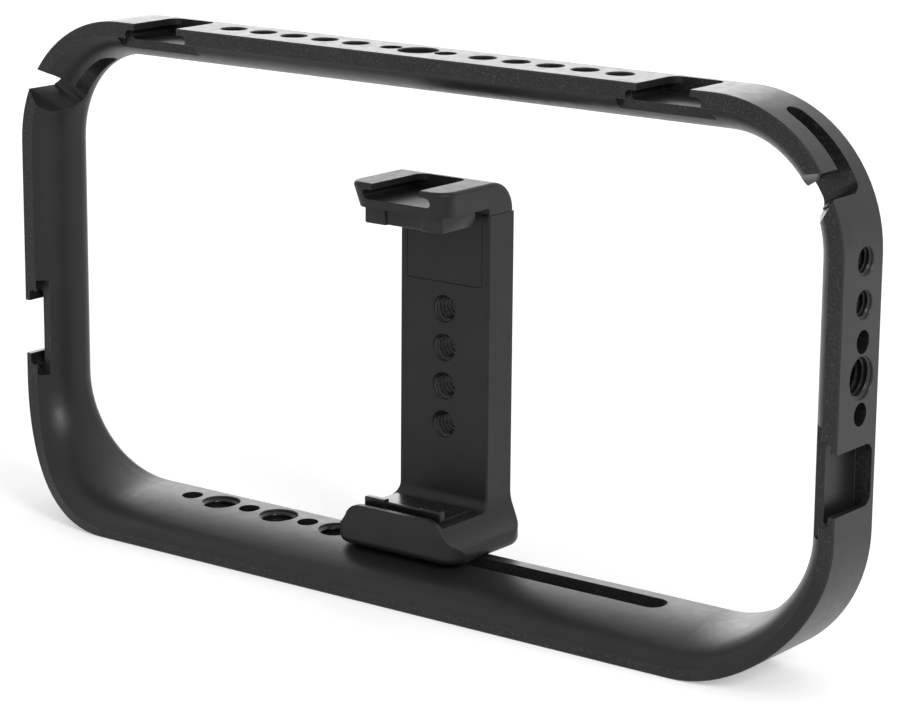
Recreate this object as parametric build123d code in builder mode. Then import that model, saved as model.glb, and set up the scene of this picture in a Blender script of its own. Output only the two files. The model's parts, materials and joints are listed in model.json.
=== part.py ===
"""Smartphone camera cage: a one-piece aluminium ring with a sliding, spring-closed phone clamp.

Frame: millimetres, +Z up, the cage stands on Z = 0.  X runs along the cage, X = 0 is the middle of
its width.  Y runs from the front (the phone's screen side) to the back, and Y = 0 lies just behind
the front plane of the ring.  The base of the ring reaches further forward so that the cage can stand.
"""

import os
from math import acos, asin, cos, degrees, radians, sin, sqrt

from build123d import *

os.makedirs("parts", exist_ok=True)

# ---------------------------------------------------------------- ring: driving dimensions
ring_width = 240.8
ring_height = 129.4
ring_front = -1.1  # front plane of the ring
ring_back = 15.6
base_reach = 10.1  # how far the base stands out in front of the ring
bar_thickness = 9.3  # outer face to the crown of the rounded inner face
front_land = 3.65  # flat front edge of the top and side bars
base_land = 2.4  # flat front edge of the base
front_drop = 4.0  # how far the middle of the inner curve lies outside the land: it makes the crease
base_drop = 1.0
crown_flat = 0.2  # flat stretch between the front curve and the rear rounding
rear_round = 4.6  # rear inner rounding of the top and side bars
base_rear_round = 1.2  # rear inner rounding of the base
edge_break = 0.25  # small chamfer on the long outer edges
top_corner_radius = 33.4
base_corner_radius = 34.6
base_corner_steps = 6  # sections between the side bar and the base

# ---------------------------------------------------------------- standard interfaces
quarter_inch_radius = 3.2  # 1/4"-20 thread, wall at its major diameter
three_eighth_radius = 4.8  # 3/8"-16 thread, wall at its major diameter
pin_hole_radius = 2.65  # anti-twist locating hole beside a 3/8" thread
pin_offset = 8.0  # from the middle of that thread
blind_depth = 6.2  # threads and locating holes of the top and the sides
sink_angle = 90  # of a thread's countersink, in degrees
thread_sink = 0.25  # how much wider a thread's mouth is than its wall, in radius
hole_pitch = 9.5
hole_line = 8.2  # depth of the rows of holes behind the front plane
shoe_mouth = 14.0  # cold shoe: gap between the two rails
shoe_undercut = 19.8  # cold shoe: width under the rails
shoe_rail = 1.6  # thickness of a rail
shoe_gap = 2.5  # height of the undercut
shoe_stop_wall = 1.5  # wall left behind a shoe
shoe_corner = 2.6  # rounding of the blind end

# ---------------------------------------------------------------- where the features sit
top_row_start = 18.6  # first 1/4" thread each side of the middle of the top
top_row_count = 5
top_shoe_x = 74.0
side_thread_z = 70.0  # 3/8" thread in each side
side_row_gap = 16.1  # from that thread up to the first 1/4" thread
side_row_count = 2
side_shoe_z = 47.8
base_row_start = -71.7  # first locating hole of the row in the base
base_row_count = 3  # pairs of a locating hole and a 3/8" thread
slot_width = 6.5
slot_left = -13.6
slot_right = 72.0
counter_slot_width = 11.4
counter_slot_depth = 4.2
strap_slot_front = 5.1
strap_slot_width = 5.2
strap_slot_high_angle = 66.5  # ends of the strap slot, measured round the top corner
strap_slot_low_angle = 25.0
strap_gate_high_angle = 34.8  # walls of the gate that lets a strap into the slot
strap_gate_low_angle = 24.4
strap_gate_high_leans = (-26.0, 8.0)  # of each wall from the radius, at the front and at the slot
strap_gate_low_leans = (36.0, 5.0)
shoe_pad_margin = 2.6  # front pocket of a shoe, beyond the undercut
shoe_pad_depth = 1.4
shoe_pad_corner = 3.0

# ---------------------------------------------------------------- clamp: driving dimensions
clamp_x = 0.2  # the clamp stands close to the middle of the cage
slide_clearance = 0.1
column_width = 26.4
column_front = 18.5
column_thickness = 10.2
column_top = 90.3
column_corner = 0.6  # rounding of the column's upright edges
column_thread_low = 37.65
column_thread_count = 4
foot_width = 37.2
foot_front = -1.0
foot_front_corner = 4.8
foot_back_corner = 6.7
foot_side_top = 13.4  # height where the flare of the column meets the side of the foot
foot_shoulder = 2.5
foot_flare_radius = 9.0
foot_edge_round = 2.0
seat_height = 18.2
seat_fillet = 2.8
lip_height = 19.9
lip_depth = 1.4
lip_shoulder = 4.5
pocket_wall = 2.0  # column wall beside the slider plate
pocket_depth = 3.2
pocket_bottom = 72.7
pocket_corner = 0.6
plate_clearance = 0.12
jaw_gap = 0.15  # joint between the jaw and the top of the column
jaw_top = 98.4
jaw_thickness = 6.1
jaw_top_width = 29.2
jaw_base_width = 26.4
jaw_front_top = -1.0
jaw_front_bottom = 0.6
jaw_flat_back = 18.3  # where the flat top ends and the round back begins
jaw_back_step = 0.4  # how far the jaw's back lies inside the column's back at the joint
jaw_corner = 4.5
jaw_edge_round = 0.9
jaw_inner_fillet = 1.6
jaw_shoe_length = 19.5
jaw_rail = 1.5
jaw_shoe_gap = 2.4
pad_total_width = 22.8
pad_length = 13.0
pad_block_width = 6.0
lower_recess = 1.0  # how far the middle of a pad stands behind its end blocks
upper_recess = 0.9
pad_front = 2.4
lower_pad_height = 3.1
lower_pad_sheet = 1.0  # the sheet behind the blocks, on which the phone stands
lower_hook_depth = 2.0  # the blocks in front of the phone
upper_pad_height = 4.1
pad_edge = 0.4

# ---------------------------------------------------------------- clamp: mechanism
rod_radius = 1.5
rod_spacing = 16.8
rod_line = 24.0
rod_fit = 0.05
rod_grip = 4.0  # length of rod held in the jaw
rod_relief = 0.3  # extra radius of the column's bore above a bush
rod_low = 17.5
spring_bore_radius = 2.5
bush_length = 6.0
bush_low = 60.0
spring_wire_radius = 0.3
spring_mean_radius = 1.95
spring_turns = 9
rod_washer_radius = 2.3
rod_washer_thickness = 0.6
rod_screw_head_radius = 1.9
rod_screw_head_height = 1.2
rod_screw_radius = 0.8
rod_screw_grip = 4.0
plug_length = 2.4
locating_pin_radius = 3.1
locating_pin_spacing = 19.0
locating_pin_stand = 3.0
locating_pin_grip = 4.0
pin_chamfer = 0.4
screw_radius = 3.1
screw_head_radius = 5.1
screw_head_height = 2.6
screw_grip = 6.0
screw_slot_width = 1.4
screw_slot_depth = 1.1
washer_radius = 5.4
washer_thickness = 0.7
washer_fit = 0.2

# ---------------------------------------------------------------- derived places
crown_y = ring_back - rear_round - crown_flat
top_corner_x = ring_width / 2 - top_corner_radius
top_corner_z = ring_height - top_corner_radius
base_corner_x = ring_width / 2 - base_corner_radius
shoe_length = ring_back - shoe_stop_wall
through = 2 * bar_thickness

column_back = column_front + column_thickness
foot_bottom = bar_thickness + slide_clearance
pocket_back = column_front + pocket_depth
plate_half_width = column_width / 2 - pocket_wall - plate_clearance
plate_back = pocket_back - plate_clearance
plate_low = pocket_bottom + plate_clearance
head_low = column_top + jaw_gap
jaw_bottom = jaw_top - jaw_thickness
bush_top = bush_low + bush_length
screw_head_top = counter_slot_depth - slide_clearance - washer_thickness


def section_plane(x: float, z: float, angle: float) -> Plane:
    """Plane across the bar at an outer point whose outward normal stands at angle degrees."""
    return Plane(origin=(x, 0, z), x_dir=(0, 1, 0), z_dir=(-sin(radians(angle)), 0, cos(radians(angle))))


def bar_section(reach: float, land: float, drop: float, round_radius: float) -> Sketch:
    """Outline of the bar: x is the depth of the cage, y is towards the inside of the ring."""
    front = ring_front - reach
    curve_height = bar_thickness - land + drop
    crease = asin(drop / curve_height)
    curve_depth = (crown_y - front) / cos(crease)
    with BuildSketch() as section:
        with BuildLine():
            curve = EllipticalCenterArc(
                (crown_y, land - drop), curve_depth, curve_height, 90, arc_size=90 - degrees(crease)
            )
            Polyline(curve @ 1, (front, edge_break), (front + edge_break, 0))
            Polyline((front + edge_break, 0), (ring_back - edge_break, 0), (ring_back, edge_break))
            Line((ring_back, edge_break), (ring_back, bar_thickness - round_radius))
            CenterArc((ring_back - round_radius, bar_thickness - round_radius), round_radius, 0, 90)
            Line((ring_back - round_radius, bar_thickness), (crown_y, bar_thickness))
        make_face()
    return section.sketch


# ---------------------------------------------------------------- cutters used more than once
def make_shoe_cutter(length: float, rail: float, gap: float) -> Part:
    """T-shaped cold-shoe slot, open at the front (y = 0), cut down from z = 0."""
    open_end = 3.0
    floor = rail + gap
    with BuildPart() as cutter:
        with BuildSketch(Plane.XY.offset(-floor)):
            with Locations((0, (length - open_end) / 2)):
                mouth = Rectangle(shoe_mouth, length + open_end)
            fillet(mouth.vertices().group_by(Axis.Y)[-1], shoe_corner)
        extrude(amount=floor + open_end)
        with BuildSketch(Plane.XZ.offset(open_end)):
            with Locations((0, -rail - gap / 2)):
                SlotOverall(shoe_undercut, gap)
        extrude(amount=-(length + open_end))
    return cutter.part


def make_shoe_pad_cutter() -> Part:
    """Shallow pocket that flattens the front of the ring round a shoe."""
    pad_across = shoe_undercut + 2 * shoe_pad_margin
    with BuildPart() as cutter:
        with BuildSketch(Plane.XZ.offset(1)):
            with Locations((0, -shoe_rail - through / 2)):
                pad_face = Rectangle(pad_across, through)
            fillet(pad_face.vertices().group_by(Axis.Y)[-1], shoe_pad_corner)
        extrude(amount=-(shoe_pad_depth + 1))
    return cutter.part


def make_strap_cutter() -> Part:
    """Strap slot round the right top corner and the leaning gate that opens it to the front."""
    slot_middle = strap_slot_front + strap_slot_width / 2
    round_angle = degrees(strap_slot_width / 2 / top_corner_radius)
    low = strap_slot_low_angle + round_angle
    high = strap_slot_high_angle - round_angle
    inner_radius = top_corner_radius - 1.5 * bar_thickness
    outer_radius = top_corner_radius + bar_thickness / 2
    gate_reach = (slot_middle - ring_front + 0.5, -0.6)
    corner = Plane(origin=(top_corner_x, slot_middle, top_corner_z), x_dir=(1, 0, 0), z_dir=(0, -1, 0))
    with BuildPart() as cutter:
        with BuildSketch(corner):
            with BuildLine():
                inner = CenterArc((0, 0), inner_radius, low, high - low)
                outer = CenterArc((0, 0), outer_radius, low, high - low)
                Line(inner @ 0, outer @ 0)
                Line(inner @ 1, outer @ 1)
            make_face()
        extrude(amount=strap_slot_width / 2, both=True)
        for angle in (low, high):
            reach = (cos(radians(angle)), 0, sin(radians(angle)))
            end_x = top_corner_x + inner_radius * reach[0]
            end_z = top_corner_z + inner_radius * reach[2]
            with BuildSketch(Plane(origin=(end_x, slot_middle, end_z), x_dir=(0, 1, 0), z_dir=reach)):
                Circle(strap_slot_width / 2)
            extrude(amount=outer_radius - inner_radius)
        for high_lean, low_lean, to_front in zip(strap_gate_high_leans, strap_gate_low_leans, gate_reach):
            with BuildSketch(corner.offset(to_front)):
                with BuildLine():
                    high_edge = gate_edge(strap_gate_high_angle, high_lean)
                    low_edge = gate_edge(strap_gate_low_angle, low_lean)
                    Line(high_edge @ 0, low_edge @ 0)
                    Line(high_edge @ 1, low_edge @ 1)
                make_face()
        loft(ruled=True)
    return cutter.part


def gate_edge(angle: float, lean: float) -> Line:
    """One wall of the strap gate: it crosses the outer face at an angle and leans from the radius."""
    crossing = Vector(top_corner_radius * cos(radians(angle)), top_corner_radius * sin(radians(angle)))
    along = Vector(cos(radians(angle + lean)), sin(radians(angle + lean)))
    return Line(crossing - along * 1.8 * bar_thickness, crossing + along * 0.3 * bar_thickness)


ring_shoe_cutter = make_shoe_cutter(shoe_length, shoe_rail, shoe_gap)
jaw_shoe_cutter = make_shoe_cutter(jaw_shoe_length, jaw_rail, jaw_shoe_gap)
shoe_pad_cutter = make_shoe_pad_cutter()
strap_cutter = make_strap_cutter()

# ---------------------------------------------------------------- cage_frame
top_length = ring_width - 2 * top_corner_radius
side_length = ring_height - top_corner_radius - base_corner_radius
base_length = ring_width - 2 * base_corner_radius

with BuildPart() as right_base_corner:
    for step in range(base_corner_steps + 1):
        angle = -90 + 90 * step / base_corner_steps
        spread = sin(radians(angle)) ** 2
        corner_point_x = base_corner_x + base_corner_radius * cos(radians(angle))
        corner_point_z = base_corner_radius + base_corner_radius * sin(radians(angle))
        with BuildSketch(section_plane(corner_point_x, corner_point_z, angle)):
            corner_land = front_land + (base_land - front_land) * spread
            corner_drop = front_drop + (base_drop - front_drop) * spread
            corner_round = rear_round + (base_rear_round - rear_round) * spread
            add(bar_section(base_reach * spread, corner_land, corner_drop, corner_round))
    loft()

top_shoe_places = [Location((x, 0, ring_height)) for x in (-top_shoe_x, top_shoe_x)]
side_shoe_places = [
    Location((ring_width / 2, 0, side_shoe_z), (0, 90, 0)),
    Location((-ring_width / 2, 0, side_shoe_z), (0, -90, 0)),
]
top_face = Plane(origin=(0, hole_line, ring_height), x_dir=(1, 0, 0), z_dir=(0, 0, 1))
base_face = Plane(origin=(0, hole_line, bar_thickness), x_dir=(1, 0, 0), z_dir=(0, 0, 1))
right_face = Plane(origin=(ring_width / 2, hole_line, side_thread_z), x_dir=(0, 1, 0), z_dir=(1, 0, 0))
left_face = Plane(origin=(-ring_width / 2, hole_line, side_thread_z), x_dir=(0, -1, 0), z_dir=(-1, 0, 0))


def on_plane(plane: Plane, points: list) -> list:
    """Locations of points given in a plane's own coordinates."""
    return [plane.location * Location((x, y, 0)) for x, y in points]


def on_sides(points: list) -> list:
    """Locations of points on the right and the left outer face."""
    return on_plane(right_face, points) + on_plane(left_face, points)


top_quarter_points = [
    (side * (top_row_start + hole_pitch * k), 0) for side in (-1, 1) for k in range(top_row_count)
]
top_pin_points = [(side * pin_offset, 0) for side in (-1, 1)]
side_quarter_points = [(0, side_row_gap + hole_pitch * k) for k in range(side_row_count)]
side_pin_points = [(0, side * pin_offset) for side in (-1, 1)]
base_pin_points = [(base_row_start + 2 * hole_pitch * k, 0) for k in range(base_row_count)]
base_thread_points = [(x + hole_pitch, y) for x, y in base_pin_points]

with BuildPart() as cage_frame:
    with BuildSketch(section_plane(top_corner_x, ring_height, 90)):
        add(bar_section(0, front_land, front_drop, rear_round))
    extrude(amount=top_length)
    with BuildSketch(section_plane(top_corner_x, ring_height, 90)):
        add(bar_section(0, front_land, front_drop, rear_round))
    revolve(axis=Axis((top_corner_x, 0, top_corner_z), (0, 1, 0)), revolution_arc=90)
    with BuildSketch(section_plane(ring_width / 2, base_corner_radius, 0)):
        add(bar_section(0, front_land, front_drop, rear_round))
    extrude(amount=side_length)
    add(right_base_corner.part)
    mirror(about=Plane.YZ)
    with BuildSketch(section_plane(-base_corner_x, 0, -90)):
        add(bar_section(base_reach, base_land, base_drop, base_rear_round))
    extrude(amount=base_length)
    with Locations(*top_shoe_places, *side_shoe_places):
        add(ring_shoe_cutter, mode=Mode.SUBTRACT)
        add(shoe_pad_cutter, mode=Mode.SUBTRACT)
    add(strap_cutter, mode=Mode.SUBTRACT)
    add(mirror(strap_cutter, about=Plane.YZ, mode=Mode.PRIVATE), mode=Mode.SUBTRACT)
    with Locations(*on_plane(top_face, top_quarter_points), *on_sides(side_quarter_points)):
        CounterSinkHole(quarter_inch_radius, quarter_inch_radius + thread_sink, blind_depth, sink_angle)
    with Locations(*on_plane(top_face, [(0, 0)]), *on_sides([(0, 0)])):
        CounterSinkHole(three_eighth_radius, three_eighth_radius + thread_sink, blind_depth, sink_angle)
    with Locations(*on_plane(top_face, top_pin_points), *on_sides(side_pin_points)):
        Hole(pin_hole_radius, blind_depth)
    with Locations(*on_plane(base_face, base_thread_points)):
        CounterSinkHole(three_eighth_radius, three_eighth_radius + thread_sink, through, sink_angle)
    with Locations(*on_plane(base_face, base_pin_points)):
        Hole(pin_hole_radius, through)
    with BuildSketch(Plane.XY):
        with Locations(((slot_left + slot_right) / 2, hole_line)):
            SlotOverall(slot_right - slot_left, slot_width)
    extrude(amount=through, mode=Mode.SUBTRACT)
    with BuildSketch(Plane.XY):
        with Locations(((slot_left + slot_right) / 2, hole_line)):
            SlotOverall(slot_right - slot_left + counter_slot_width - slot_width, counter_slot_width)
    extrude(amount=counter_slot_depth, mode=Mode.SUBTRACT)
cage_frame.part.label = "cage_frame"
export_step(cage_frame.part, "parts/cage_frame.step")

# ---------------------------------------------------------------- clamp_body
clamp_side = Plane(origin=(clamp_x, 0, 0), x_dir=(0, 1, 0), z_dir=(1, 0, 0))
clamp_front = Plane(origin=(clamp_x, 0, 0), x_dir=(1, 0, 0), z_dir=(0, -1, 0))
column_face = Plane(origin=(clamp_x, column_front, 0), x_dir=(1, 0, 0), z_dir=(0, -1, 0))
flare_x = column_width / 2 + foot_flare_radius
flare_z = foot_side_top + sqrt(foot_flare_radius**2 - (flare_x - foot_width / 2) ** 2)
flare_angle = degrees(acos((flare_x - foot_width / 2) / foot_flare_radius))
column_thread_points = [(0, column_thread_low + hole_pitch * k) for k in range(column_thread_count)]
rod_points = [(clamp_x + side * rod_spacing / 2, rod_line) for side in (-1, 1)]
pin_points = [(clamp_x + side * locating_pin_spacing / 2, hole_line) for side in (-1, 1)]
deep = 2 * (column_back - foot_front)

with BuildSketch() as bell_profile:
    with BuildLine():
        Polyline((0, foot_bottom), (foot_width / 2, foot_bottom), (foot_width / 2, foot_side_top))
        CenterArc((flare_x, flare_z), foot_flare_radius, 180, flare_angle)
        Polyline((column_width / 2, flare_z), (column_width / 2, column_top), (0, column_top))
        mirror(about=Plane.YZ)
    make_face()
    shoulders = [(side * foot_width / 2, foot_side_top) for side in (-1, 1)]
    fillet([bell_profile.vertices().sort_by_distance(p)[0] for p in shoulders], foot_shoulder)

with BuildPart() as clamp_body:
    with BuildSketch(clamp_side) as clamp_profile:
        with BuildLine():
            Polyline(
                (foot_front, foot_bottom),
                (foot_front, seat_height),
                (column_front, seat_height),
                (column_front, column_top),
                (column_back, column_top),
                (column_back, foot_bottom),
                close=True,
            )
        make_face()
        fillet(clamp_profile.vertices().sort_by_distance((column_front, seat_height))[0], seat_fillet)
    extrude(amount=foot_width, both=True)
    with BuildSketch(clamp_front):
        add(bell_profile.sketch)
    extrude(amount=deep, both=True, mode=Mode.INTERSECT)
    fillet(clamp_body.edges().filter_by(Axis.Z).group_by(SortBy.LENGTH)[-1], column_corner)
    with BuildSketch(Plane(origin=(clamp_x, foot_front, 0), x_dir=(1, 0, 0), z_dir=(0, -1, 0))) as lip_profile:
        add(bell_profile.sketch)
        with Locations((0, lip_height / 2)):
            Rectangle(foot_width, lip_height, mode=Mode.INTERSECT)
        fillet(lip_profile.vertices().group_by(Axis.Y)[-1], lip_shoulder)
    extrude(amount=-lip_depth)
    with BuildSketch(Plane.XY.offset(foot_bottom)) as foot_plan:
        with Locations((clamp_x, (foot_front + column_back) / 2)):
            Rectangle(foot_width, column_back - foot_front)
        fillet(foot_plan.vertices().group_by(Axis.Y)[0], foot_front_corner)
        fillet(foot_plan.vertices().group_by(Axis.Y)[-1], foot_back_corner)
    extrude(amount=column_top, mode=Mode.INTERSECT)
    fillet(clamp_body.faces().sort_by(Axis.Z)[0].edges(), foot_edge_round)
    with BuildSketch(column_face) as pocket_profile:
        with Locations((0, (pocket_bottom + column_top) / 2)):
            Rectangle(column_width - 2 * pocket_wall, column_top - pocket_bottom)
        fillet(pocket_profile.vertices().group_by(Axis.Y)[0], pocket_corner)
    extrude(amount=-pocket_depth, mode=Mode.SUBTRACT)
    with Locations(*on_plane(column_face, column_thread_points)):
        CounterSinkHole(quarter_inch_radius, quarter_inch_radius + thread_sink, column_thickness, sink_angle)
    with BuildSketch(Plane.XY.offset(foot_bottom)):
        with Locations(*rod_points):
            Circle(spring_bore_radius)
    extrude(amount=bush_top - foot_bottom, mode=Mode.SUBTRACT)
    with BuildSketch(Plane.XY.offset(bush_top)):
        with Locations(*rod_points):
            Circle(rod_radius + rod_relief)
    extrude(amount=column_top - bush_top, mode=Mode.SUBTRACT)
    with BuildSketch(Plane.XY.offset(foot_bottom)):
        with Locations(*pin_points):
            Circle(locating_pin_radius)
    extrude(amount=locating_pin_grip, mode=Mode.SUBTRACT)
    with BuildSketch(Plane.XY.offset(foot_bottom)):
        with Locations((clamp_x, hole_line)):
            Circle(screw_radius)
    extrude(amount=screw_grip, mode=Mode.SUBTRACT)
clamp_body.part.label = "clamp_body"
export_step(clamp_body.part, "parts/clamp_body.step")

# ---------------------------------------------------------------- upper_jaw
with BuildPart() as upper_jaw:
    with BuildSketch(clamp_side) as jaw_profile:
        with BuildLine():
            Polyline((jaw_front_bottom, jaw_bottom), (jaw_front_top, jaw_top), (jaw_flat_back, jaw_top))
            TangentArc((jaw_flat_back, jaw_top), (column_back - jaw_back_step, head_low), tangent=(1, 0))
            Polyline(
                (column_back - jaw_back_step, head_low),
                (plate_back, head_low),
                (plate_back, plate_low),
                (column_front, plate_low),
                (column_front, jaw_bottom),
                (jaw_front_bottom, jaw_bottom),
            )
        make_face()
        fillet(jaw_profile.vertices().sort_by_distance((column_front, jaw_bottom))[0], jaw_inner_fillet)
    extrude(amount=jaw_top_width, both=True)
    with BuildSketch(clamp_front):
        with BuildLine():
            Polyline((0, jaw_top), (jaw_top_width / 2, jaw_top), (jaw_base_width / 2, head_low))
            Polyline((jaw_base_width / 2, head_low), (plate_half_width, head_low), (plate_half_width, plate_low))
            Line((plate_half_width, plate_low), (0, plate_low))
            mirror(about=Plane.YZ)
        make_face()
    extrude(amount=deep, both=True, mode=Mode.INTERSECT)
    plate_edges = upper_jaw.edges().filter_by(Axis.Y).group_by(Axis.Z)[0]
    fillet(plate_edges, pocket_corner)
    front_corners = upper_jaw.faces().sort_by(Axis.Y)[0].edges().sort_by(Axis.X)
    fillet([front_corners[0], front_corners[-1]], jaw_corner)
    top_edges = upper_jaw.faces().sort_by(Axis.Z)[-1].edges().sort_by(Axis.Y)[:-1]
    fillet(top_edges, jaw_edge_round)
    with Locations((clamp_x, jaw_front_top, jaw_top)):
        add(jaw_shoe_cutter, mode=Mode.SUBTRACT)
    with BuildSketch(Plane.XY.offset(head_low)):
        with Locations(*rod_points):
            Circle(rod_radius)
    extrude(amount=rod_grip, mode=Mode.SUBTRACT)
upper_jaw.part.label = "upper_jaw"
export_step(upper_jaw.part, "parts/upper_jaw.step")


# ---------------------------------------------------------------- pads
def pad_plan(depth: float, recess: float) -> Sketch:
    """Plan of a pad: two end blocks whose front stands before that of the middle."""
    with BuildSketch() as plan:
        with Locations((clamp_x, pad_front + depth / 2)):
            Rectangle(pad_total_width, depth)
        with Locations((clamp_x, pad_front + recess / 2)):
            Rectangle(pad_total_width - 2 * pad_block_width, recess, mode=Mode.SUBTRACT)
    return plan.sketch


with BuildPart() as lower_jaw_pad:
    with BuildSketch(Plane.XY.offset(seat_height)):
        add(pad_plan(lower_hook_depth, lower_recess))
    extrude(amount=lower_pad_height)
    fillet(lower_jaw_pad.edges().filter_by(Axis.Z), pad_edge)
    with BuildSketch(Plane.XY.offset(seat_height)):
        with Locations((clamp_x, pad_front + (lower_recess + pad_length) / 2 + pad_edge)):
            Rectangle(pad_total_width, pad_length - lower_recess - 2 * pad_edge)
    extrude(amount=lower_pad_sheet)
lower_jaw_pad.part.label = "lower_jaw_pad"
export_step(lower_jaw_pad.part, "parts/lower_jaw_pad.step")

with BuildPart() as upper_jaw_pad:
    with BuildSketch(Plane.XY.offset(jaw_bottom - upper_pad_height)):
        add(pad_plan(pad_length, upper_recess))
    extrude(amount=upper_pad_height)
    fillet(upper_jaw_pad.edges().filter_by(Axis.Z), pad_edge)
upper_jaw_pad.part.label = "upper_jaw_pad"
export_step(upper_jaw_pad.part, "parts/upper_jaw_pad.step")

# ---------------------------------------------------------------- guide rods, springs and what holds them
for side_name, rod_place in zip(("left", "right"), rod_points):
    with BuildPart() as guide_rod:
        with BuildSketch(Plane.XY.offset(rod_low)):
            with Locations(rod_place):
                Circle(rod_radius)
        extrude(amount=head_low + rod_grip - rod_low)
        with BuildSketch(Plane.XY.offset(rod_low)):
            with Locations(rod_place):
                Circle(rod_screw_radius)
        extrude(amount=rod_screw_grip, mode=Mode.SUBTRACT)
    guide_rod.part.label = f"guide_rod_{side_name}"
    export_step(guide_rod.part, f"parts/guide_rod_{side_name}.step")

    with BuildPart() as guide_bush:
        with BuildSketch(Plane.XY.offset(bush_low)):
            with Locations(rod_place):
                Circle(spring_bore_radius)
                Circle(rod_radius + rod_fit, mode=Mode.SUBTRACT)
        extrude(amount=bush_length)
    guide_bush.part.label = f"guide_bush_{side_name}"
    export_step(guide_bush.part, f"parts/guide_bush_{side_name}.step")

    spring_height = bush_low - rod_low - 2 * spring_wire_radius
    with BuildPart() as clamp_spring:
        with BuildLine():
            coil = Helix(
                pitch=spring_height / spring_turns,
                height=spring_height,
                radius=spring_mean_radius,
                center=(*rod_place, rod_low + spring_wire_radius),
            )
        with BuildSketch(Plane(origin=coil @ 0, z_dir=coil % 0)):
            Circle(spring_wire_radius)
        sweep()
    clamp_spring.part.label = f"clamp_spring_{side_name}"
    export_step(clamp_spring.part, f"parts/clamp_spring_{side_name}.step")

    with BuildPart() as rod_washer:
        with BuildSketch(Plane.XY.offset(rod_low - rod_washer_thickness)):
            with Locations(rod_place):
                Circle(rod_washer_radius)
                Circle(rod_screw_radius, mode=Mode.SUBTRACT)
        extrude(amount=rod_washer_thickness)
    rod_washer.part.label = f"rod_washer_{side_name}"
    export_step(rod_washer.part, f"parts/rod_washer_{side_name}.step")

    rod_screw_head_top = rod_low - rod_washer_thickness
    with BuildPart() as rod_screw:
        with BuildSketch(Plane.XY.offset(rod_screw_head_top - rod_screw_head_height)):
            with Locations(rod_place):
                Circle(rod_screw_head_radius)
        extrude(amount=rod_screw_head_height)
        with BuildSketch(Plane.XY.offset(rod_screw_head_top)):
            with Locations(rod_place):
                Circle(rod_screw_radius)
        extrude(amount=rod_washer_thickness + rod_screw_grip)
    rod_screw.part.label = f"rod_screw_{side_name}"
    export_step(rod_screw.part, f"parts/rod_screw_{side_name}.step")

    with BuildPart() as bore_plug:
        with BuildSketch(Plane.XY.offset(foot_bottom)):
            with Locations(rod_place):
                Circle(spring_bore_radius)
        extrude(amount=plug_length)
    bore_plug.part.label = f"bore_plug_{side_name}"
    export_step(bore_plug.part, f"parts/bore_plug_{side_name}.step")

# ---------------------------------------------------------------- locating pins
for side_name, pin_place in zip(("left", "right"), pin_points):
    with BuildPart() as locating_pin:
        with BuildSketch(Plane.XY.offset(foot_bottom - locating_pin_stand)):
            with Locations(pin_place):
                Circle(locating_pin_radius)
        extrude(amount=locating_pin_stand + locating_pin_grip)
        chamfer(locating_pin.edges().group_by(Axis.Z)[0], pin_chamfer)
    locating_pin.part.label = f"locating_pin_{side_name}"
    export_step(locating_pin.part, f"parts/locating_pin_{side_name}.step")

# ---------------------------------------------------------------- clamp_washer and clamp_screw
with BuildPart() as clamp_washer:
    with BuildSketch(Plane.XY.offset(screw_head_top)):
        with Locations((clamp_x, hole_line)):
            Circle(washer_radius)
            Circle(screw_radius + washer_fit, mode=Mode.SUBTRACT)
    extrude(amount=washer_thickness)
clamp_washer.part.label = "clamp_washer"
export_step(clamp_washer.part, "parts/clamp_washer.step")

with BuildPart() as clamp_screw:
    with BuildSketch(Plane.XY.offset(screw_head_top - screw_head_height)):
        with Locations((clamp_x, hole_line)):
            Circle(screw_head_radius)
    extrude(amount=screw_head_height)
    with BuildSketch(Plane.XY.offset(screw_head_top)):
        with Locations((clamp_x, hole_line)):
            Circle(screw_radius)
    extrude(amount=foot_bottom + screw_grip - screw_head_top)
    with BuildSketch(Plane.XY.offset(screw_head_top - screw_head_height)):
        with Locations((clamp_x, hole_line)):
            Rectangle(2 * screw_head_radius, screw_slot_width)
    extrude(amount=screw_slot_depth, mode=Mode.SUBTRACT)
clamp_screw.part.label = "clamp_screw"
export_step(clamp_screw.part, "parts/clamp_screw.step")
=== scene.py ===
"""Smartphone camera cage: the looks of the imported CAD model, in the same frame, in metres.

X is to the right, Y away from the viewer and Z up. The floor is at Z = 0.
"""

import json
from math import cos, pi, radians, sin, tau

import bmesh
import bpy
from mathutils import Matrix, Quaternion, Vector

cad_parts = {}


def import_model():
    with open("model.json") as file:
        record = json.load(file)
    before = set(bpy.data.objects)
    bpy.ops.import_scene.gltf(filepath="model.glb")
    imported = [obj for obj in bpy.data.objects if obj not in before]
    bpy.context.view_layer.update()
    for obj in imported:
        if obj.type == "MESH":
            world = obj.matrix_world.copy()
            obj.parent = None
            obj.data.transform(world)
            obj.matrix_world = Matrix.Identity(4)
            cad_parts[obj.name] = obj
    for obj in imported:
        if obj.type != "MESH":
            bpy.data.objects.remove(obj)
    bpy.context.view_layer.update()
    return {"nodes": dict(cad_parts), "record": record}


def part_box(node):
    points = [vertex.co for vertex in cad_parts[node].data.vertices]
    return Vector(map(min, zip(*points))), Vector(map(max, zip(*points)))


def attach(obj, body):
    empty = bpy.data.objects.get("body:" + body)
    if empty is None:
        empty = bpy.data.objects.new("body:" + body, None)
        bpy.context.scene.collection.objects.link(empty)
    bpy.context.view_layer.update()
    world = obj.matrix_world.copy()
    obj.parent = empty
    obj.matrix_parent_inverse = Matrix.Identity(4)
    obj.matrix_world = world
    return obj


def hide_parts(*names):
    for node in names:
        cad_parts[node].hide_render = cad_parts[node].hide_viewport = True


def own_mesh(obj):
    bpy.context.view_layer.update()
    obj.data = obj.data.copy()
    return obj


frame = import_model()
record = frame["record"]
MM = 0.001


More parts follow.
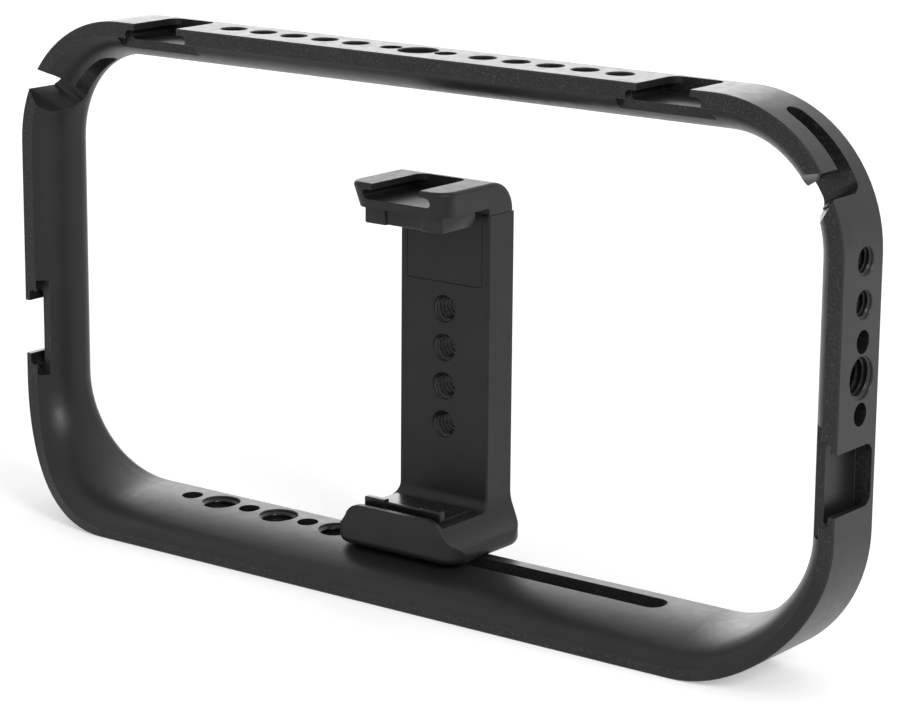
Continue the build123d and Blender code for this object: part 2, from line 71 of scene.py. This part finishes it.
def direction(azimuth, elevation):
    """Unit vector from the object towards a place round it, from angles in degrees.

    Azimuth 0 is in front (-Y) and 90 at the right (+X).
    """
    around, above = radians(azimuth), radians(elevation)
    return Vector((sin(around) * cos(above), -cos(around) * cos(above), sin(above)))


def linked_object(name, data):
    """New object that is part of the scene."""
    made = bpy.data.objects.new(name, data)
    bpy.context.scene.collection.objects.link(made)
    return made


# ---------------------------------------------------------------- camera
camera_azimuth = 37.195  # degrees, as the elevation and the roll
camera_elevation = 13.633
camera_roll = 0.476
camera_target = Vector((16.192, 0, 60.049)) * MM
camera_distance = 731.969 * MM
camera_lens = 126.295  # millimetres, as the sensor's width
camera_sensor = 36.0
camera_near, camera_far = 0.01, 20.0  # metres

camera = linked_object("camera", bpy.data.cameras.new("camera"))
bpy.context.scene.camera = camera
camera.data.sensor_width = camera_sensor
camera.data.lens = camera_lens
camera.data.clip_start = camera_near
camera.data.clip_end = camera_far
towards_camera = direction(camera_azimuth, camera_elevation)
camera.location = camera_target + towards_camera * camera_distance
camera.rotation_mode = "QUATERNION"
roll = Quaternion((0, 0, 1), radians(camera_roll))
camera.rotation_quaternion = (-towards_camera).to_track_quat("-Z", "Y") @ roll


# ---------------------------------------------------------------- materials
class Nodes:
    """Short calls for building one material's node tree."""

    def __init__(self, name):
        self.material = bpy.data.materials.new(name)
        self.material.use_nodes = True
        self.tree = self.material.node_tree
        self.shader = next(n for n in self.tree.nodes if n.type == "BSDF_PRINCIPLED")
        self.place = self.add("ShaderNodeTexCoord").outputs["Object"]

    def add(self, kind, links=None, **values):
        """Adds a node, sets its properties and sockets by name, and links sockets to it."""
        node = self.tree.nodes.new(kind)
        for key, value in values.items():
            setattr(node, key, value)
        for socket, source in (links or {}).items():
            if isinstance(source, bpy.types.NodeSocket):
                self.tree.links.new(source, node.inputs[socket])
            else:
                node.inputs[socket].default_value = source
        return node

    def noise(self, size, detail=2.0, roughness=0.5):
        """Noise whose features are about size metres across."""
        links = {"Vector": self.place, "Scale": 1 / size, "Detail": detail, "Roughness": roughness}
        return self.add("ShaderNodeTexNoise", links).outputs["Fac"]

    def spread(self, source, low, high, source_low=0.3, source_high=0.7):
        """Maps a value from one range to another; a noise stays mostly between 0.3 and 0.7."""
        given = {"Value": source, "From Min": source_low, "From Max": source_high}
        return self.add("ShaderNodeMapRange", {**given, "To Min": low, "To Max": high}).outputs["Result"]

    def blend(self, factor, first, second):
        """Mixes two colours, each a socket or a plain colour."""
        node = self.add("ShaderNodeMix", data_type="RGBA")
        self.tree.links.new(factor, node.inputs["Factor"])
        for socket, value in zip([s for s in node.inputs if s.type == "RGBA"], (first, second)):
            if isinstance(value, bpy.types.NodeSocket):
                self.tree.links.new(value, socket)
            else:
                socket.default_value = (*value, 1)
        return next(s for s in node.outputs if s.type == "RGBA")

    def dot(self, first, second):
        """Cosine of the angle between two unit vectors."""
        node = self.add("ShaderNodeVectorMath", {0: first, 1: second}, operation="DOT_PRODUCT")
        return node.outputs["Value"]

    def product(self, first, second):
        """Product of two values."""
        return self.add("ShaderNodeMath", {0: first, 1: second}, operation="MULTIPLY").outputs[0]

    def bump(self, height, distance, strength=1.0, normal=None):
        """Normal of a bump, distance metres high, on top of another normal."""
        links = {"Height": height, "Distance": distance, "Strength": strength}
        if normal is not None:
            links["Normal"] = normal
        return self.add("ShaderNodeBump", links).outputs["Normal"]

    def set(self, **sockets):
        """Sets or links the shader's own sockets; an underscore in a name stands for a space."""
        for name, value in sockets.items():
            socket = self.shader.inputs[name.replace("_", " ")]
            if isinstance(value, bpy.types.NodeSocket):
                self.tree.links.new(value, socket)
            elif socket.type == "RGBA":
                socket.default_value = (*value, 1)
            else:
                socket.default_value = value
        return self.material


bevel_samples = 4
to_the_front = (0, -1, 0)
front_cosines = (0.985, 0.995)  # where the front mask starts and where it is full
edge_cosines = (0.985, 0.9)  # where the edge mask starts and where it is full


def soft_edge(nodes, radius):
    """Normal that rounds every sharp edge by a small radius, as deburring does."""
    return nodes.add("ShaderNodeBevel", {"Radius": radius}, samples=bevel_samples).outputs["Normal"]


def front_mask(nodes):
    """1 on faces that look straight to the object's front, 0 elsewhere."""
    normal = nodes.add("ShaderNodeNewGeometry").outputs["True Normal"]
    return nodes.spread(nodes.dot(normal, to_the_front), 0, 1, *front_cosines)


def edge_mask(nodes, rounded):
    """1 along sharp edges, where the rounded normal leaves the face's own, 0 elsewhere."""
    normal = nodes.add("ShaderNodeNewGeometry").outputs["Normal"]
    return nodes.spread(nodes.dot(normal, rounded), 0, 1, *edge_cosines)


dye_patch, dye_dark, dye_pale = 9 * MM, (0.0120, 0.0120, 0.0124), (0.0160, 0.0160, 0.0164)
sheen_patch, sheen_range = 2.5 * MM, 0.03
grain_size, coarse_size = 0.22 * MM, 0.42 * MM
deburring = 0.18 * MM  # radius
# paler specks on faces that look to the front: partly blasting, partly a painted highlight of the light
# those faces catch
speck_noise, speck_and_highlight_tone = (0.54, 0.7), (0.06, 0.06, 0.061)


def anodised_material(name, grain_height, roughness, ior, coarse_front=0.0, edge_wear_and_highlight_tone=0.0):
    """Black anodised aluminium: bead-blasted grain, deburred edges, faint unevenness of the dye.

    Where coarse_front is set, faces that look to the front have a coarser grain of that height, with
    paler specks: part blasting, part a painted highlight of the light that those faces catch.
    Where an edge tone is given, sharp edges are paler in that tone: rubbed wear, and partly painted
    edge highlights.
    """
    nodes = Nodes(name)
    dye = nodes.spread(nodes.noise(dye_patch, 4), 0, 1)
    colour = nodes.blend(dye, dye_dark, dye_pale)
    sheen = nodes.noise(sheen_patch, 3)
    sheen = nodes.spread(sheen, roughness - sheen_range, roughness + sheen_range)
    grain = nodes.noise(grain_size, 3, 0.6)
    rounded = soft_edge(nodes, deburring)
    blasted = nodes.bump(grain, grain_height, normal=rounded)
    # sharp edges get a paler tone: rubbed wear, and partly painted edge highlights
    if edge_wear_and_highlight_tone:
        colour = nodes.blend(edge_mask(nodes, rounded), colour, (edge_wear_and_highlight_tone, edge_wear_and_highlight_tone, edge_wear_and_highlight_tone))
    # front faces: coarser grain, and paler specks that are partly a painted highlight
    if coarse_front:
        land = front_mask(nodes)
        coarse = nodes.noise(coarse_size, 3, 0.65)
        speck_and_highlight = nodes.spread(coarse, 0, 1, *speck_noise)
        colour = nodes.blend(nodes.product(land, speck_and_highlight), colour, speck_and_highlight_tone)
        blasted = nodes.bump(coarse, coarse_front, strength=land, normal=blasted)
    return nodes.set(Base_Color=colour, Roughness=sheen, IOR=ior, Normal=blasted)


def rubber_material():
    """Moulded rubber of the jaw pads: glossy black, a little uneven."""
    nodes = Nodes("pad_rubber")
    dark, pale, tone_patch = (0.009, 0.009, 0.009), (0.014, 0.014, 0.014), 3 * MM
    smooth, rough, gloss_patch = 0.25, 0.31, 1.8 * MM
    ripple_size, ripple_height, edge_radius = 0.9 * MM, 0.002 * MM, 0.1 * MM
    patches = nodes.spread(nodes.noise(gloss_patch, 3), smooth, rough)
    ripple = nodes.bump(nodes.noise(ripple_size, 2), ripple_height, normal=soft_edge(nodes, edge_radius))
    tone = nodes.blend(nodes.spread(nodes.noise(tone_patch), 0, 1), dark, pale)
    return nodes.set(Base_Color=tone, Roughness=patches, IOR=1.36, Normal=ripple)


def metal_material(name, colour, roughness, streak, mark_height=0.002 * MM):
    """Bare or blackened metal with fine marks, streak metres apart and mark_height metres high."""
    nodes = Nodes(name)
    smoother, rougher, gloss_patch = 0.03, 0.04, 2.5 * MM
    stain, stain_patch, edge_radius = 0.88, 4 * MM, 0.08 * MM
    uneven = nodes.spread(nodes.noise(gloss_patch, 3), roughness - smoother, roughness + rougher)
    darker = tuple(stain * c for c in colour)
    tone = nodes.blend(nodes.spread(nodes.noise(stain_patch, 3), 0, 1), darker, colour)
    marks = nodes.bump(nodes.noise(streak, 3), mark_height, normal=soft_edge(nodes, edge_radius))
    return nodes.set(Base_Color=tone, Roughness=uneven, Metallic=1.0, Normal=marks)


def plastic_material():
    """Matte black plastic of the plugs that close the spring bores."""
    nodes = Nodes("plug_plastic")
    dark, pale, tone_patch = (0.015, 0.015, 0.015), (0.024, 0.024, 0.025), 1 * MM
    smooth, rough, gloss_patch = 0.5, 0.62, 0.5 * MM
    texture_size, texture_height = 0.15 * MM, 0.01 * MM
    tone = nodes.blend(nodes.spread(nodes.noise(tone_patch), 0, 1), dark, pale)
    texture = nodes.bump(nodes.noise(texture_size, 2), texture_height)
    matte = nodes.spread(nodes.noise(gloss_patch), smooth, rough)
    return nodes.set(Base_Color=tone, Roughness=matte, Normal=texture)


materials = {
    # the ring's edges are paler by rubbed wear and painted edge highlights; its front faces get specks that
    # are partly painted highlight
    "anodised": anodised_material(
        "anodised", grain_height=0.012 * MM, roughness=0.34, ior=1.36, coarse_front=0.03 * MM, edge_wear_and_highlight_tone=0.07
    ),
    "pad_rubber": rubber_material(),
    "bush_brass": metal_material("bush_brass", (0.62, 0.45, 0.19), roughness=0.3, streak=0.1 * MM),
    "ground_steel": metal_material(
        "ground_steel", (0.56, 0.56, 0.57), roughness=0.22, streak=0.12 * MM, mark_height=0.0006 * MM
    ),
    "spring_steel": metal_material("spring_steel", (0.4, 0.4, 0.42), roughness=0.28, streak=0.1 * MM),
    "fastener_steel": metal_material(
        "fastener_steel", (0.06, 0.06, 0.065), roughness=0.36, streak=0.15 * MM
    ),
    "plug_plastic": plastic_material(),
}
thread_material = anodised_material("anodised_thread", grain_height=0.006 * MM, roughness=0.29, ior=1.4)
clamp_material = anodised_material("anodised_clamp", grain_height=0.014 * MM, roughness=0.43, ior=1.33)

for part in record["subparts"]:
    node = frame["nodes"][part["node"]]
    node.data.materials.clear()
    node.data.materials.append(materials[part["material_slot"]])
for name in ("clamp_body", "upper_jaw"):
    frame["nodes"][name].data.materials[0] = clamp_material


# ---------------------------------------------------------------- pieces of the scene's own
def join_rings(bm, rings):
    """Faces between each closed ring of vertices and the next one."""
    for near, far in zip(rings, rings[1:]):
        for k in range(len(near)):
            following = (k + 1) % len(near)
            bm.faces.new((near[k], near[following], far[following], far[k]))


def smooth_mesh(name, bm, sharp_angle=None):
    """Ends bm as a smooth-shaded mesh; edges bent by more than sharp_angle degrees stay sharp."""
    mesh = bpy.data.meshes.new(name)
    bm.to_mesh(mesh)
    bm.free()
    mesh.shade_smooth()
    if sharp_angle is not None:
        mesh.set_sharp_from_angle(angle=radians(sharp_angle))
    return mesh


def add_piece(name, mesh, body, material):
    """Puts a finished mesh into the scene as a piece that rides on a body."""
    piece = linked_object(name, mesh)
    mesh.materials.append(material)
    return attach(piece, body)


# ---------------------------------------------------------------- threads
thread_steps = 72  # round one turn
thread_embed = 0.02 * MM  # how far the roots stand inside the wall of the CAD hole


def thread_wall(bm, mouth, inward, major, pitch, height, start, end):
    """Helical ridges of an internal thread, from depth start to depth end below its mouth.

    The ridges rise by height from the major radius and fade out over a third of a turn at both ends.
    """
    root_flat, flank = pitch / 8, pitch * 5 / 16
    profile = [(0, 0), (root_flat, 0), (root_flat + flank, height), (pitch - flank, height)]
    side = inward.orthogonal().normalized()
    other = inward.cross(side)
    turns = int((end - start) / pitch) + 2  # with the turns cut off at both ends
    rows = []
    for turn in range(-1, turns):
        for offset, rise in profile:
            row = []
            for step in range(thread_steps + 1):
                angle = tau * step / thread_steps
                depth = start + pitch * (turn + step / thread_steps) + offset
                fade = min(1, max(0, min(depth - start, end - depth) / (pitch / 3)))
                radius = major + thread_embed - rise * fade
                depth = min(end, max(start, depth))
                out = side * cos(angle) + other * sin(angle)
                row.append(bm.verts.new(mouth + inward * depth + out * radius))
            rows.append(row)
    for low, high in zip(rows, rows[1:]):
        for k in range(thread_steps):
            bm.faces.new((low[k], low[k + 1], high[k + 1], high[k]))


def hole_mouths(mount):
    """Centres of the mouths of a mount's holes, the direction into them, and their radius."""
    axis = Vector(mount["axis"])
    centre = Vector(mount["pos_m"])
    dims = mount["dims"]
    if mount["kind"] == "threaded_hole":
        return [centre], -axis, dims["r_mm"] * MM
    along = Vector((1, 0, 0)) if "spacing_x_mm" in dims else Vector((0, 0, 1))
    half = dims.get("spacing_x_mm", dims.get("spacing_y_mm")) * MM / 2
    return [centre - along * half, centre + along * half], -axis, dims["hole_r_mm"] * MM


quarter_pitch, quarter_ridge = 1.27 * MM, 0.6 * MM  # 1/4-20 UNC
three_eighth_pitch, three_eighth_ridge = 1.5875 * MM, 0.82 * MM  # 3/8-16 UNC
large_radius = 4 * MM  # wall radius above which a thread is a 3/8" one
thread_start = 0.5 * MM
merge_distance, smallest_edge = 0.002 * MM, 0.001 * MM
thread_sharp_angle = 32
thread_groups = {  # body, starts of the mounts' names, depth where the threads end
    "threads_top": ("cage", "top_thread", 6.1 * MM),
    "threads_side_right": ("cage", "side_thread_right side_quarter_threads_right", 6.1 * MM),
    "threads_side_left": ("cage", "side_thread_left side_quarter_threads_left", 6.1 * MM),
    "threads_base": ("cage", "base_threads", 8.8 * MM),
    "threads_column": ("clamp", "column_threads", 9.7 * MM),
}
ring_low, ring_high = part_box("cage_frame")
for name, (body, prefixes, thread_end) in thread_groups.items():
    bm = bmesh.new()
    done = set()
    for mount in record["mounts"]:
        if not any(mount["name"].startswith(prefix) for prefix in prefixes.split()):
            continue
        mouths, inward, radius = hole_mouths(mount)
        large = radius > large_radius
        for mouth in mouths:
            if inward.z < -0.5:  # from the top
                mouth.z = ring_high.z
            if abs(inward.x) > 0.5:  # from a side
                mouth.x = ring_high.x if inward.x < 0 else ring_low.x
            place = tuple(round(c, 5) for c in mouth)
            if place in done:  # two mounts may share a hole
                continue
            done.add(place)
            thread_wall(
                bm, mouth, inward, radius,
                three_eighth_pitch if large else quarter_pitch,
                three_eighth_ridge if large else quarter_ridge,
                thread_start, thread_end,
            )
    # the rows that the ends flatten onto each other become one
    bmesh.ops.remove_doubles(bm, verts=bm.verts, dist=merge_distance)
    bmesh.ops.dissolve_degenerate(bm, edges=bm.edges, dist=smallest_edge)
    add_piece(name, smooth_mesh(name, bm, thread_sharp_angle), body, thread_material)


# ---------------------------------------------------------------- rubber pads
pad_block = 6.0  # width of the end blocks; millimetres, as all sizes of the pads
pad_depth = 13.0
hook_depth = 2.0
hook_height = 3.1
sheet_height = 1.0
upper_height = 4.1
hook_round, hook_back_round, hook_root_round, sheet_round = 0.35, 0.3, 0.5, 0.3  # side view, radii
hook_bevel_depth, hook_bevel_height = 0.1, 0.12
upper_front_round, upper_back_round = 0.5, 0.4
outer_corner, inner_corner = 0.45, 0.2  # radii, seen from above
end_slope = 0.4  # how much a rounded end drops for each millimetre that it stands back
pad_sharp_angle = 40


def arc(centre, radius, first, last, steps=6):
    """Points of a circular arc between two angles in degrees."""
    angles = [radians(first + (last - first) * k / steps) for k in range(steps + 1)]
    return [(centre[0] + radius * cos(a), centre[1] + radius * sin(a)) for a in angles]


def lower_pad_profile(inset, drop):
    """Side view of the lower pad as (y, z): a hook in front of the phone and the sheet it stands on."""
    front, hook_back, back, tall = inset, hook_depth, pad_depth, hook_height - drop
    r, s, t, u = hook_round, hook_back_round, hook_root_round, sheet_round
    return [
        (front + hook_bevel_depth, 0), (front, hook_bevel_height),
        *arc((front + r, tall - r), r, 180, 90),
        *arc((hook_back - s, tall - s), s, 90, 0),
        *arc((hook_back + t, sheet_height + t), t, 180, 270),
        *arc((back - u, sheet_height - u), u, 90, 0),
        (back, 0),
    ]


def upper_pad_profile(inset, drop):
    """Side view of the upper pad, a block under the jaw's flat underside; z is down from the jaw."""
    front, back, tall = inset, pad_depth, upper_height - drop
    r, s = upper_front_round, upper_back_round
    return [
        (front, 0),
        *arc((front + r, tall - r), r, 180, 90),
        *arc((back - s, tall - s), s, 90, 0),
        (back, 0),
    ]


def pad_stations(half, block, recess, low_middle):
    """Places across a pad as (x, inset, drop), with rounded ends and end blocks.

    The middle stands back by recess and is lower by low_middle.
    """
    corner, hollow = outer_corner, inner_corner
    end = arc((half - corner, corner), corner, -90, 0)
    side = [(x, inset, end_slope * inset) for x, inset in reversed(end)]
    inner = half - block
    side += [(inner + corner - x, corner + y, 0) for x, y in arc((0, 0), corner, -90, 0)]
    fillet = arc((0, 0), hollow, 0, 90, 4)
    side += [(inner - hollow + x, recess - hollow + y, low_middle) for x, y in fillet]
    return side + [(-x, inset, drop) for x, inset, drop in reversed(side)]


def moulded_pad(name, node, profile, recess, low_middle, upward):
    """Lofts a pad's side view across the clamp and puts it in place of its CAD node."""
    low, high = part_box(node)
    half = (high.x - low.x) / 2 / MM
    origin = Vector(((low.x + high.x) / 2, low.y, low.z if upward else high.z))
    rise = MM if upward else -MM
    bm = bmesh.new()
    rows = [
        [bm.verts.new(origin + Vector((x * MM, y * MM, z * rise))) for y, z in profile(inset, drop)]
        for x, inset, drop in pad_stations(half, pad_block, recess, low_middle)
    ]
    join_rings(bm, rows)
    bm.faces.new(rows[0])
    bm.faces.new(reversed(rows[-1]))
    bmesh.ops.recalc_face_normals(bm, faces=bm.faces)
    mesh = smooth_mesh(name, bm, pad_sharp_angle)
    piece = add_piece(name, mesh, "clamp" if upward else "jaw", materials["pad_rubber"])
    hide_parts(node)


moulded_pad(
    "lower_pad_rubber", "lower_jaw_pad", lower_pad_profile, recess=1.0, low_middle=0.65, upward=True
)
moulded_pad(
    "upper_pad_rubber", "upper_jaw_pad", upper_pad_profile, recess=0.9, low_middle=0.0, upward=False
)


# ---------------------------------------------------------------- springs
wire_radius = 0.3 * MM
active_turns, closed_turns = 9, 2  # one closed turn at each end
coil_steps, wire_sides = 24, 10


def coil_spring(name, node):
    """Closed-end compression spring at one length; the real one shortens to its bush as the jaw goes up."""
    low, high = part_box(node)
    centre = (low + high) / 2
    height = high.z - low.z
    mean_radius = (high.x - low.x) / 2 - wire_radius
    closed_rise = 2 * wire_radius
    free_rise = height - 2 * wire_radius - 2 * closed_rise
    turns = active_turns + closed_turns
    rings = []
    bm = bmesh.new()
    for step in range(turns * coil_steps + 1):
        turn = step / coil_steps
        rise = min(turn, 1) * closed_rise + max(0, turn - turns + 1) * closed_rise
        rise += free_rise * min(1, max(0, (turn - 1) / active_turns))
        outward = Vector((cos(tau * turn), sin(tau * turn), 0))
        middle = Vector((centre.x, centre.y, low.z + wire_radius + rise)) + outward * mean_radius
        ring = []
        for side in range(wire_sides):
            angle = tau * side / wire_sides
            offset = outward * cos(angle) + Vector((0, 0, 1)) * sin(angle)
            ring.append(bm.verts.new(middle + offset * wire_radius))
        rings.append(ring)
    join_rings(bm, rings)
    bm.faces.new(reversed(rings[0]))
    bm.faces.new(rings[-1])
    bmesh.ops.recalc_face_normals(bm, faces=bm.faces)
    piece = add_piece(name, smooth_mesh(name, bm), "clamp", materials["spring_steel"])
    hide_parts(node)
    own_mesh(piece)


for side_name in ("left", "right"):
    coil_spring(f"jaw_spring_{side_name}", f"clamp_spring_{side_name}")


# ---------------------------------------------------------------- stage: floor, world and lamps
floor_half = 4.0  # metres
floor_tone = (0.88, 0.88, 0.88)
floor_roughness, floor_specular = 0.9, 0.1
floor_lift = 0.4  # glow that the camera and reflections see on the floor, which brings it to white
world_fill = 0.54  # strength of the world as light; the camera and reflections see it at 1


def background_ray(tree):
    """1 for rays that show the background: from the camera, in reflections and through glass."""
    path = tree.nodes.new("ShaderNodeLightPath").outputs
    seen = path["Is Camera Ray"]
    for ray in ("Is Glossy Ray", "Is Transmission Ray"):
        either = tree.nodes.new("ShaderNodeMath")
        either.operation = "MAXIMUM"
        tree.links.new(seen, either.inputs[0])
        tree.links.new(path[ray], either.inputs[1])
        seen = either.outputs[0]
    return seen


def floor():
    """Wide pale floor that keeps the object's shadow."""
    half = floor_half
    mesh = bpy.data.meshes.new("floor")
    corners = [(-half, -half, 0), (half, -half, 0), (half, half, 0), (-half, half, 0)]
    mesh.from_pydata(corners, [], [(0, 1, 2, 3)])
    ground = linked_object("floor", mesh)
    nodes = Nodes("floor")
    lift = nodes.product(background_ray(nodes.tree), floor_lift)
    nodes.set(Base_Color=floor_tone, Roughness=floor_roughness, Specular_IOR_Level=floor_specular)
    nodes.set(Emission_Color=(1, 1, 1), Emission_Strength=lift)
    mesh.materials.append(nodes.material)


def world():
    """White background, and a plain fill of light on the object."""
    made = bpy.data.worlds.new("studio")
    bpy.context.scene.world = made
    made.use_nodes = True
    tree = made.node_tree
    background = next(n for n in tree.nodes if n.type == "BACKGROUND")
    shown = tree.nodes.new("ShaderNodeMix")
    tree.links.new(background_ray(tree), shown.inputs["Factor"])
    shown.inputs["A"].default_value = world_fill
    shown.inputs["B"].default_value = 1.0
    background.inputs["Color"].default_value = (1, 1, 1, 1)
    tree.links.new(shown.outputs["Result"], background.inputs["Strength"])


def softbox(name, azimuth, elevation, distance, width, height, radiance):
    """Rectangular lamp that faces the object; radiance is what a mirror would show of it.

    Angles are in degrees, lengths in metres.
    """
    lamp = bpy.data.lights.new(name, "AREA")
    lamp.shape = "RECTANGLE"
    lamp.size = width
    lamp.size_y = height
    lamp.energy = radiance * pi * width * height
    placed = linked_object(name, lamp)
    out = direction(azimuth, elevation)
    placed.location = camera_target + out * distance
    placed.rotation_mode = "QUATERNION"
    placed.rotation_quaternion = out.to_track_quat("Z", "Y")
    placed.visible_camera = False


floor()
world()
lamps = {  # azimuth, elevation, distance, width, height, radiance
    "back_left_softbox": (218, 14, 1.6, 0.95, 0.9, 2.2),
    "back_softbox": (180, 42, 1.6, 1.6, 0.8, 0.4),
    "key_softbox": (70, 33, 1.1, 0.36, 0.36, 11.0),
}
for lamp_name, values in lamps.items():
    softbox(lamp_name, *values)

view = bpy.context.scene.view_settings
view.view_transform = "Standard"
